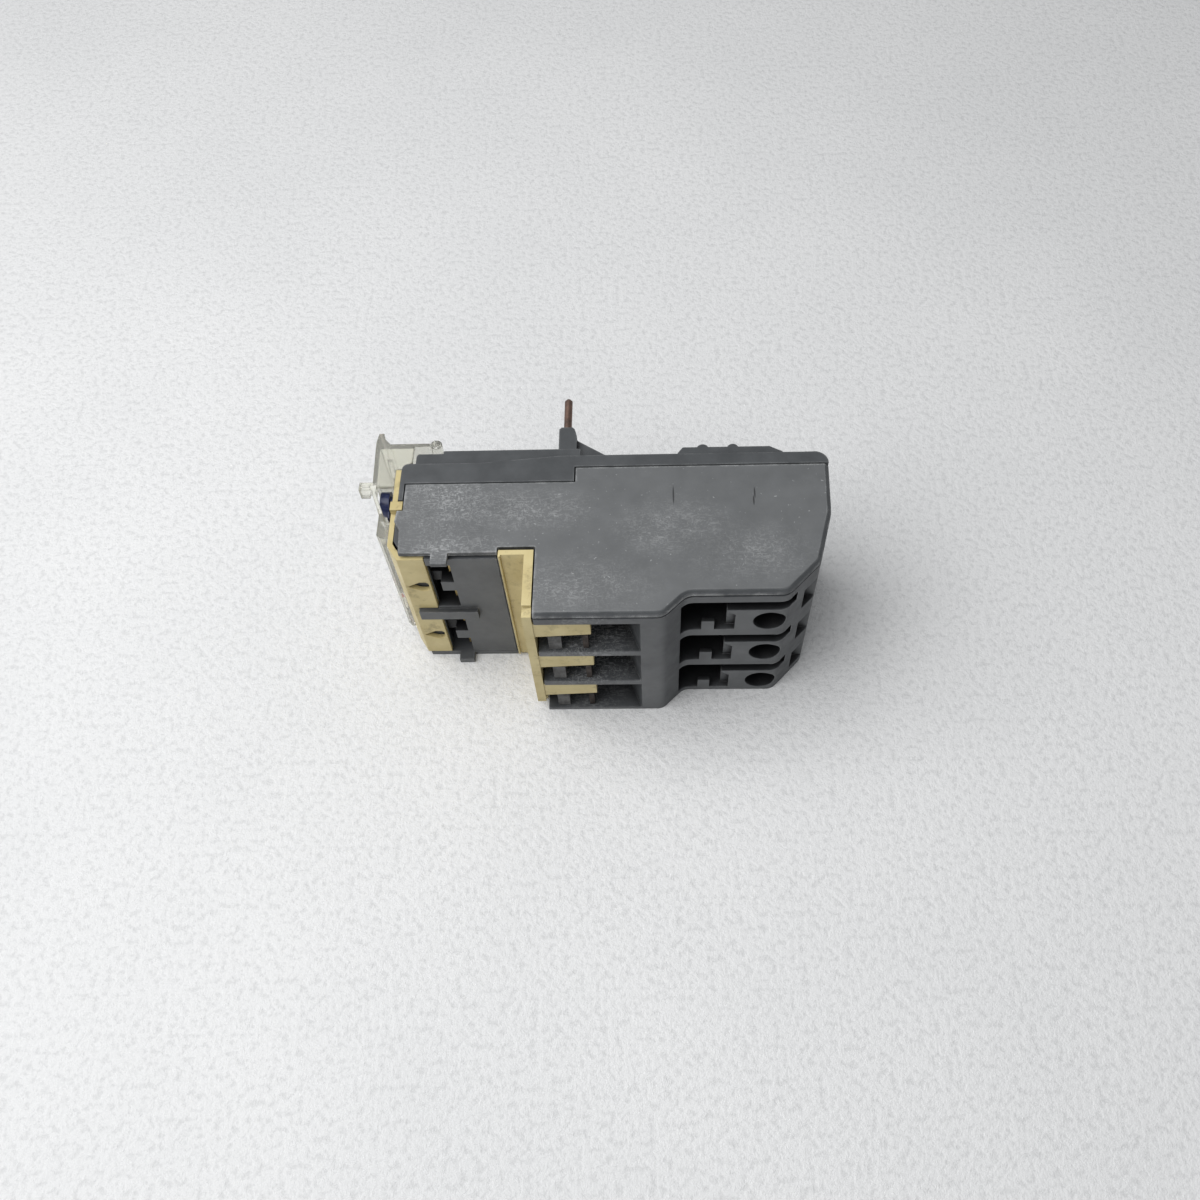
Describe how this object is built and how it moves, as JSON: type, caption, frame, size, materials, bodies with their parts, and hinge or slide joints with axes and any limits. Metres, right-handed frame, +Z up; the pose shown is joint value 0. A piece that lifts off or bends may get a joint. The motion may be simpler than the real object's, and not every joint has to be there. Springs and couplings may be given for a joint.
{
  "type": "thermal overload relay",
  "caption": "Plug-on bimetal overload relay lying on its side, with clear hinged flap, setting dial, push buttons, trip gear, wire clamps and contactor pins.",
  "frame": {"origin": "centre of the relay's footprint as it lies on its side wall, on the floor", "axes": "+X from the button front to the rear, +Y from the wire terminals to the contactor pins, +Z up through the 45 mm module width"},
  "size_m": [0.1046, 0.0656, 0.045],
  "materials": {
    "charcoal_plastic": "fine-grained charcoal polyamide, dusty",
    "beige_plastic": "aged beige polyamide",
    "clear_plastic": "clear, slightly yellowed polycarbonate",
    "black_plastic": "black",
    "white_plastic": "off-white",
    "blue_plastic": "dark blue, satin",
    "red_plastic": "red, satin",
    "plated_steel": "zinc plated",
    "spring_steel": "drawn wire",
    "aged_copper": "dull brown copper",
    "contact_brass": "brass strip",
    "bimetal_strip": "rolled bimetal",
    "heater_wire": "resistance wire on a pale sleeve"
  },
  "bodies": {
    "case": {"housing": "charcoal_plastic", "side_cover": "charcoal_plastic", "front_panel": "beige_plastic", "terminal_shroud": "beige_plastic", "contact_block": "charcoal_plastic", "line_pin_1": "aged_copper", "line_pin_2": "aged_copper", "line_pin_3": "aged_copper", "heater_coil_1": "heater_wire", "heater_coil_2": "heater_wire", "heater_coil_3": "heater_wire", "bimetal_1": "bimetal_strip", "bimetal_2": "bimetal_strip", "bimetal_3": "bimetal_strip", "terminal_bar_1": "aged_copper", "terminal_bar_2": "aged_copper", "terminal_bar_3": "aged_copper", "control_tail_1": "contact_brass", "control_tail_2": "contact_brass", "control_tail_3": "contact_brass", "control_tail_4": "contact_brass", "rocker_pin": "plated_steel", "reset_spring": "spring_steel", "stop_spring": "spring_steel"},
    "flap": {"clear_cover": "clear_plastic"},
    "dial": {"current_dial": "white_plastic", "dial_cam": "black_plastic"},
    "reset": {"reset_button": "blue_plastic"},
    "stop": {"stop_button": "red_plastic"},
    "trip_bar": {"trip_slide": "black_plastic"},
    "differential_bar": {"differential_slide": "black_plastic"},
    "lever": {"trip_lever": "black_plastic"},
    "rocker": {"contact_rocker": "black_plastic", "nc_bridge": "contact_brass", "no_bridge": "contact_brass"},
    "wire_clamp_1": {"power_clamp_1": "plated_steel"},
    "clamp_screw_1": {"power_screw_1": "plated_steel"},
    "wire_clamp_2": {"power_clamp_2": "plated_steel"},
    "clamp_screw_2": {"power_screw_2": "plated_steel"},
    "wire_clamp_3": {"power_clamp_3": "plated_steel"},
    "clamp_screw_3": {"power_screw_3": "plated_steel"},
    "control_plate_1": {"control_clamp_1": "plated_steel"},
    "control_fixing_1": {"control_screw_1": "plated_steel"},
    "control_plate_2": {"control_clamp_2": "plated_steel"},
    "control_fixing_2": {"control_screw_2": "plated_steel"},
    "control_plate_3": {"control_clamp_3": "plated_steel"},
    "control_fixing_3": {"control_screw_3": "plated_steel"},
    "control_plate_4": {"control_clamp_4": "plated_steel"},
    "control_fixing_4": {"control_screw_4": "plated_steel"}
  },
  "joints": [
    {"name": "flap_hinge", "type": "hinge", "parent": "case", "child": "flap", "pos_m": [-0.03575, 0.0144, 0.0225], "axis": [0, 0, -1], "range_deg": [0, 110]},
    {"name": "dial_turn", "type": "hinge", "parent": "case", "child": "dial", "pos_m": [-0.04355, -0.0003, 0.0225], "axis": [1, 0, 0], "range_deg": [-135, 135]},
    {"name": "reset_push", "type": "slide", "parent": "case", "child": "reset", "axis": [1, 0, 0], "range_m": [0, 0.0018], "stiffness_N_per_m": 400, "springref_m": -0.001, "deforming": ["reset_spring"]},
    {"name": "stop_push", "type": "slide", "parent": "case", "child": "stop", "axis": [1, 0, 0], "range_m": [0, 0.0018], "stiffness_N_per_m": 400, "springref_m": -0.001, "deforming": ["stop_spring"]},
    {"name": "trip_slide_move", "type": "slide", "parent": "case", "child": "trip_bar", "axis": [0, 0, 1], "range_m": [0, 0.002]},
    {"name": "differential_slide_move", "type": "slide", "parent": "case", "child": "differential_bar", "axis": [0, 0, 1], "range_m": [0, 0.002]},
    {"name": "trip_lever_turn", "type": "hinge", "parent": "case", "child": "lever", "pos_m": [-0.01155, -0.0006, 0.0393], "axis": [-1, 0, 0], "range_deg": [0, 14.4]},
    {"name": "rocker_turn", "type": "hinge", "parent": "case", "child": "rocker", "pos_m": [-0.02605, 0.00015, 0.021], "axis": [1, 0, 0], "range_deg": [0, 6.05]},
    {"name": "wire_clamp_move_1", "type": "slide", "parent": "case", "child": "wire_clamp_1", "axis": [1, 0, 0], "range_m": [0, 0.0044]},
    {"name": "clamp_screw_turn_1", "type": "hinge", "parent": "wire_clamp_1", "child": "clamp_screw_1", "pos_m": [-0.01055, -0.0254, 0.0066], "axis": [1, 0, 0], "range_deg": [0, 2262.86]},
    {"name": "wire_clamp_move_2", "type": "slide", "parent": "case", "child": "wire_clamp_2", "axis": [1, 0, 0], "range_m": [0, 0.0044]},
    {"name": "clamp_screw_turn_2", "type": "hinge", "parent": "wire_clamp_2", "child": "clamp_screw_2", "pos_m": [-0.01055, -0.0254, 0.0206], "axis": [1, 0, 0], "range_deg": [0, 2262.86]},
    {"name": "wire_clamp_move_3", "type": "slide", "parent": "case", "child": "wire_clamp_3", "axis": [1, 0, 0], "range_m": [0, 0.0044]},
    {"name": "clamp_screw_turn_3", "type": "hinge", "parent": "wire_clamp_3", "child": "clamp_screw_3", "pos_m": [-0.01055, -0.0254, 0.0346], "axis": [1, 0, 0], "range_deg": [0, 2262.86]},
    {"name": "control_plate_move_1", "type": "slide", "parent": "case", "child": "control_plate_1", "axis": [1, 0, 0], "range_m": [0, 0.0042]},
    {"name": "control_screw_turn_1", "type": "hinge", "parent": "control_plate_1", "child": "control_fixing_1", "pos_m": [-0.03855, -0.0103, 0.0048], "axis": [1, 0, 0], "range_deg": [0, 3024]},
    {"name": "control_plate_move_2", "type": "slide", "parent": "case", "child": "control_plate_2", "axis": [1, 0, 0], "range_m": [0, 0.0042]},
    {"name": "control_screw_turn_2", "type": "hinge", "parent": "control_plate_2", "child": "control_fixing_2", "pos_m": [-0.03855, -0.0103, 0.0152], "axis": [1, 0, 0], "range_deg": [0, 3024]},
    {"name": "control_plate_move_3", "type": "slide", "parent": "case", "child": "control_plate_3", "axis": [1, 0, 0], "range_m": [0, 0.0042]},
    {"name": "control_screw_turn_3", "type": "hinge", "parent": "control_plate_3", "child": "control_fixing_3", "pos_m": [-0.03855, -0.0103, 0.0268], "axis": [1, 0, 0], "range_deg": [0, 3024]},
    {"name": "control_plate_move_4", "type": "slide", "parent": "case", "child": "control_plate_4", "axis": [1, 0, 0], "range_m": [0, 0.0042]},
    {"name": "control_screw_turn_4", "type": "hinge", "parent": "control_plate_4", "child": "control_fixing_4", "pos_m": [-0.03855, -0.0103, 0.0372], "axis": [1, 0, 0], "range_deg": [0, 3024]}
  ],
  "couplings": [
    {"joint": "differential_slide_move", "follows": "trip_slide_move", "ratio": 1},
    {"joint": "trip_lever_turn", "follows": "trip_slide_move", "rad_per_m": 125},
    {"joint": "rocker_turn", "follows": "trip_slide_move", "rad_per_m": 52.36},
    {"joint": "clamp_screw_turn_1", "follows": "wire_clamp_move_1", "rad_per_m": 8976},
    {"joint": "clamp_screw_turn_2", "follows": "wire_clamp_move_2", "rad_per_m": 8976},
    {"joint": "clamp_screw_turn_3", "follows": "wire_clamp_move_3", "rad_per_m": 8976},
    {"joint": "control_screw_turn_1", "follows": "control_plate_move_1", "rad_per_m": 12566},
    {"joint": "control_screw_turn_2", "follows": "control_plate_move_2", "rad_per_m": 12566},
    {"joint": "control_screw_turn_3", "follows": "control_plate_move_3", "rad_per_m": 12566},
    {"joint": "control_screw_turn_4", "follows": "control_plate_move_4", "rad_per_m": 12566}
  ]
}
